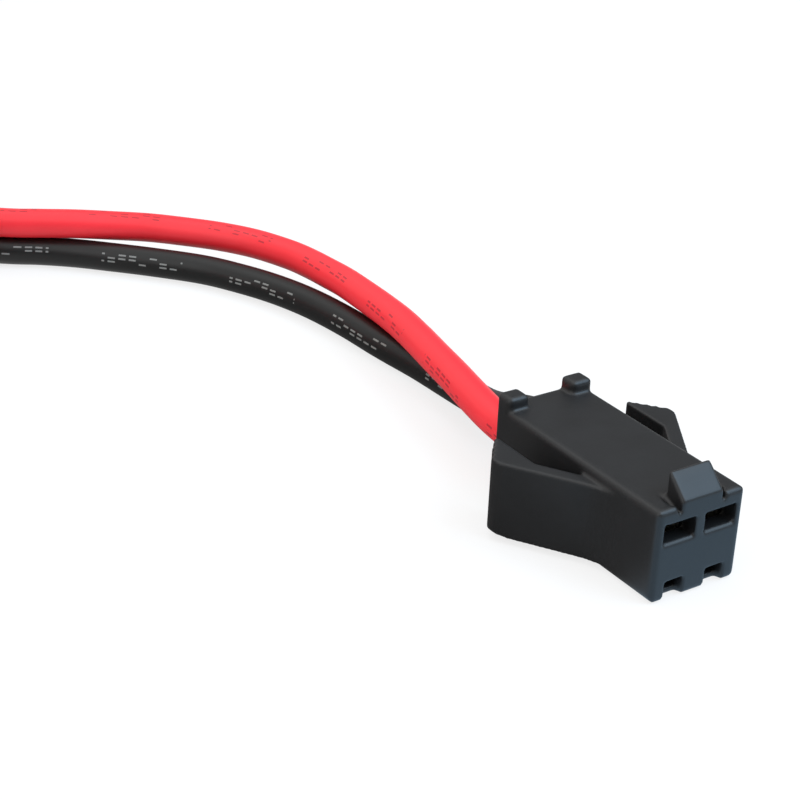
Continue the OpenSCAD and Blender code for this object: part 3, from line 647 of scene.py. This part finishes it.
class LEAD_OT_stage(bpy.types.Operator):
    """Sets the camera at the viewing angle, the pale floor and the soft lights"""

    bl_idname = "lead.stage"
    bl_label = "Camera, floor and lights"

    CAMERA_AT = (58.814, -52.604, 45.871)
    CAMERA_RIGHT = (0.5441, 0.83823, 0.03638)
    CAMERA_UP = (-0.39226, 0.2158, 0.89418)
    SENSOR = 36
    CLIP = (0.001, 10)

    FLOOR_HALF = 2.0
    FLOOR_GAP = 0.02

    # The sky's brighter side: which way it lies, the cosine at which it starts, and how much brighter it is
    BRIGHT_SIDE = (-0.908, -0.33, 0.259)
    BRIGHT_FROM = 0.5
    BRIGHTER = 0.55

    # Panels: degrees round and up, size in millimetres and brightness
    PANELS = {
        "top": (-34, 82, 560, 1.15),
        "left": (-88, 20, 220, 1.2),
        "window": (43, 45, 220, 4.5),
    }
    COOL_PANEL = "window"
    PANELS_AIM = (-4, 0, 3)
    PANELS_OFF = 280

    def execute(self, context):
        settings = context.scene.lead_stage
        scene = context.scene
        scene.view_settings.view_transform = "Standard"
        self.make_camera(scene, settings)
        self.make_floor(scene, settings)
        self.make_sky(scene, settings)
        for name, place in self.PANELS.items():
            self.make_panel(scene, name, settings.cool if name == self.COOL_PANEL else WHITE, *place)
        return {"FINISHED"}

    def make_camera(self, scene, settings):
        right = Vector(self.CAMERA_RIGHT).normalized()
        up = Vector(self.CAMERA_UP)
        back = right.cross(up).normalized()
        up = back.cross(right)
        data = bpy.data.cameras.new("camera")
        data.lens = settings.lens
        data.sensor_width = self.SENSOR
        data.clip_start, data.clip_end = self.CLIP
        camera = bpy.data.objects.new("camera", data)
        turn = Matrix((right, up, back)).transposed().to_4x4()
        camera.matrix_world = Matrix.Translation(Vector(self.CAMERA_AT) * MM) @ turn
        scene.collection.objects.link(camera)
        scene.camera = camera

    def make_floor(self, scene, settings):
        half, low = self.FLOOR_HALF, -self.FLOOR_GAP * MM
        corners = [(-half, -half, low), (half, -half, low), (half, half, low), (-half, half, low)]
        mesh = bpy.data.meshes.new("floor")
        mesh.from_pydata(corners, [], [(0, 1, 2, 3)])
        floor = bpy.data.objects.new("floor", mesh)
        scene.collection.objects.link(floor)
        mesh.materials.append(pale_floor(settings.floor, settings.floor_bounce, settings.cool))

    def make_sky(self, scene, settings):
        world = bpy.data.worlds.new("studio")
        scene.world = world
        world.use_nodes = True
        tree = world.node_tree
        tree.nodes.clear()
        way = add(tree, "TexCoord").outputs["Generated"]
        facing = add(tree, "VectorMath", {0: way, 1: self.BRIGHT_SIDE}, operation="DOT_PRODUCT")
        level = add(tree, "MapRange", {"Value": facing.outputs["Value"], "From Min": self.BRIGHT_FROM,
                                       "From Max": 1.0, "To Min": settings.sky,
                                       "To Max": settings.sky + self.BRIGHTER},
                    interpolation_type="SMOOTHSTEP")
        sky = add(tree, "Background", {"Color": colour(WHITE), "Strength": level.outputs["Result"]})
        white = add(tree, "Background", {"Color": colour(WHITE), "Strength": 1.0})
        path = add(tree, "LightPath")
        seen = add(tree, "MixShader", {0: path.outputs["Is Camera Ray"], 1: sky.outputs[0],
                                       2: white.outputs[0]})
        add(tree, "OutputWorld", {"Surface": seen.outputs[0]})

    def make_panel(self, scene, name, rgb, turn, rise, size, brightness):
        """A square panel that faces the part, and looks that bright from there."""
        turn, rise = math.radians(turn), math.radians(rise)
        towards = Vector((math.cos(rise) * math.cos(turn), math.cos(rise) * math.sin(turn), math.sin(rise)))
        data = bpy.data.lights.new(name, "AREA")
        data.shape = "SQUARE"
        data.size = size * MM
        data.color = rgb
        data.energy = brightness * math.pi * data.size ** 2
        panel = bpy.data.objects.new(name, data)
        panel.location = (Vector(self.PANELS_AIM) + towards * self.PANELS_OFF) * MM
        panel.rotation_euler = (-towards).to_track_quat("-Z", "Y").to_euler()
        panel.visible_camera = False
        scene.collection.objects.link(panel)


class LEAD_OT_housing(bpy.types.Operator):
    """Makes the small plug's moulded housing"""

    bl_idname = "lead.housing"
    bl_label = "Small plug housing"

    def execute(self, context):
        settings = context.scene.lead_housing
        softened("housing", "plug_housing", settings.cell, settings.passes, moulded_nylon(settings.nylon))
        return {"FINISHED"}


class LEAD_OT_terminals(bpy.types.Operator):
    """Finishes the crimp terminals and the bare copper in them"""

    bl_idname = "lead.terminals"
    bl_label = "Crimp terminals"

    def execute(self, context):
        # Brass sheet, stamped and tin plated: pale and softly bright, with fine rolling lines
        tinned = metal("tinned_brass", linear("#CFCBC0"), roughness=0.32, grain_mm=0.3, depth_mm=0.01)
        # Copper, drawn and left bare: warm, with lines along the strands
        copper = metal("bare_copper", linear("#D08A5C"), roughness=0.35, grain_mm=0.12, depth_mm=0.02)
        dress(tinned, "red_terminal", "black_terminal")
        dress(copper, "red_strand_end", "black_strand_end", "red_plug_strands", "black_plug_strands")
        return {"FINISHED"}


class LEAD_OT_tie(bpy.types.Operator):
    """Makes the moulded tie that holds the coil, from the housing's nylon"""

    bl_idname = "lead.tie"
    bl_label = "Cable tie"

    def execute(self, context):
        settings = context.scene.lead_housing
        softened("cable_tie", "tie_strap", settings.cell, settings.tie_passes,
                 bpy.data.materials["moulded_black_nylon"])
        return {"FINISHED"}


class LEAD_OT_power_plug(bpy.types.Operator):
    """Makes the power plug's grip and finishes its shell, insulator, contacts and inner moulding"""

    bl_idname = "lead.power_plug"
    bl_label = "Power plug"

    def execute(self, context):
        settings = context.scene.lead_plug
        softened("plug_grip", "moulded_grip", settings.cell, settings.passes, grained_vinyl(settings.grip))
        # Steel sheet, folded and nickel plated: bright and faintly warm, with fine rolling lines
        nickel = metal("nickel_plated_steel", linear("#C6C4BF"), roughness=0.22, grain_mm=0.35,
                       depth_mm=0.008)
        dress(nickel, "plug_shell")
        rounded_edges("plug_shell", settings.shell_edge)
        rounded_edges("plug_insulator", settings.shell_edge)
        dress(moulded_resin("white_insulating_resin", linear("#ECEAE3"), roughness=0.45), "plug_insulator")
        dress(moulded_resin("natural_resin", linear("#DAD6C8"), roughness=0.4), "plug_inner_mould")
        # Brass, stamped and flashed with gold: a warm yellow shine
        gilt = metal("gold_flashed_brass", linear("#E6C067"), roughness=0.22, grain_mm=0.25, depth_mm=0.006)
        dress(gilt, "power_contact", "data_minus_contact", "data_plus_contact", "ground_contact")
        # Solder, cooled in a bead: dull silver with a frosted skin
        solder = metal("dull_solder", linear("#BDBEC0"), roughness=0.4, grain_mm=0.6, depth_mm=0.03)
        dress(solder, "power_solder", "ground_solder")
        return {"FINISHED"}


class LEAD_OT_wires(bpy.types.Operator):
    """Lays the red and the black wire from the small plug through the coil to the power plug"""

    bl_idname = "lead.wires"
    bl_label = "Wires"

    PLUG_NODES = ("plug_shell", "plug_insulator", "power_contact", "data_minus_contact",
                  "data_plus_contact", "ground_contact", "plug_inner_mould", "red_plug_strands",
                  "black_plug_strands", "power_solder", "ground_solder")
    PLUG_PIECES = ("moulded_grip", "tie_strap")

    # Each wire's marks: the seed of their draws and the length of a group in millimetres, then the
    # degrees round at which they start and their twist in degrees a millimetre
    RED_DRAW, RED_TURN = (0, 8.2), (-12, 2)
    BLACK_DRAW, BLACK_TURN = (11, 9.3), (20, 0)

    def execute(self, context):
        settings = context.scene.lead_wires
        low_row = settings.diameter / MM / 2
        red = RED_ROUTE + coil_points(low_row + ROW_RISE) + RED_TAIL
        black = BLACK_ROUTE + coil_points(low_row) + BLACK_TAIL
        red_skin = wire_vinyl("extruded_vinyl_red_lead", settings.red, settings.red_ink, *self.RED_DRAW)
        self.lay(settings, "red_lead", red, self.RED_TURN, red_skin, "pvc_red",
                 ("red_wire", "red_tail", "wire_coil"))
        black_skin = wire_vinyl("extruded_vinyl_black_lead", settings.black, settings.black_ink,
                                *self.BLACK_DRAW)
        self.lay(settings, "black_lead", black, self.BLACK_TURN, black_skin, "pvc_black",
                 ("black_wire", "black_tail"))
        return {"FINISHED"}

    def lay(self, settings, name, points, turn, skin, slot, nodes):
        line = smooth_line(points, settings.ring_step)
        for point in line:
            point.z = max(point.z, settings.diameter / 2)
        mesh = wire_mesh(name, line, settings.diameter, settings.sides, *turn)
        piece = new_piece(name, mesh, skin)
        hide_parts(*nodes)
        others = [frame["nodes"][n] for n in self.PLUG_NODES]
        others += [bpy.data.objects[n] for n in self.PLUG_PIECES]


class LEAD_PT_panel(bpy.types.Panel):
    """Lists the pieces of the lead and their settings"""

    bl_idname = "LEAD_PT_panel"
    bl_label = "Power lead"
    bl_space_type = "VIEW_3D"
    bl_region_type = "UI"
    bl_category = "Power lead"

    def draw(self, context):
        for operator in PIECES:
            self.layout.operator(operator.bl_idname)
        for name, group in GROUPS.items():
            box = self.layout.box()
            settings = getattr(context.scene, name)
            for key in group.__annotations__:
                box.prop(settings, key)


PIECES = (LEAD_OT_stage, LEAD_OT_housing, LEAD_OT_terminals, LEAD_OT_tie, LEAD_OT_power_plug, LEAD_OT_wires)
GROUPS = {
    "lead_stage": StageSettings,
    "lead_wires": WireSettings,
    "lead_housing": HousingSettings,
    "lead_plug": PlugSettings,
}
CLASSES = (*GROUPS.values(), *PIECES, LEAD_PT_panel)


def register():
    for kind in CLASSES:
        bpy.utils.register_class(kind)
    for name, group in GROUPS.items():
        setattr(bpy.types.Scene, name, PointerProperty(type=group))


def unregister():
    for name in GROUPS:
        delattr(bpy.types.Scene, name)
    for kind in reversed(CLASSES):
        bpy.utils.unregister_class(kind)


def main():
    register()
    bpy.ops.lead.stage()
    bpy.ops.lead.housing()
    bpy.ops.lead.terminals()
    bpy.ops.lead.tie()
    bpy.ops.lead.power_plug()
    bpy.ops.lead.wires()


if __name__ == "__main__":
    main()
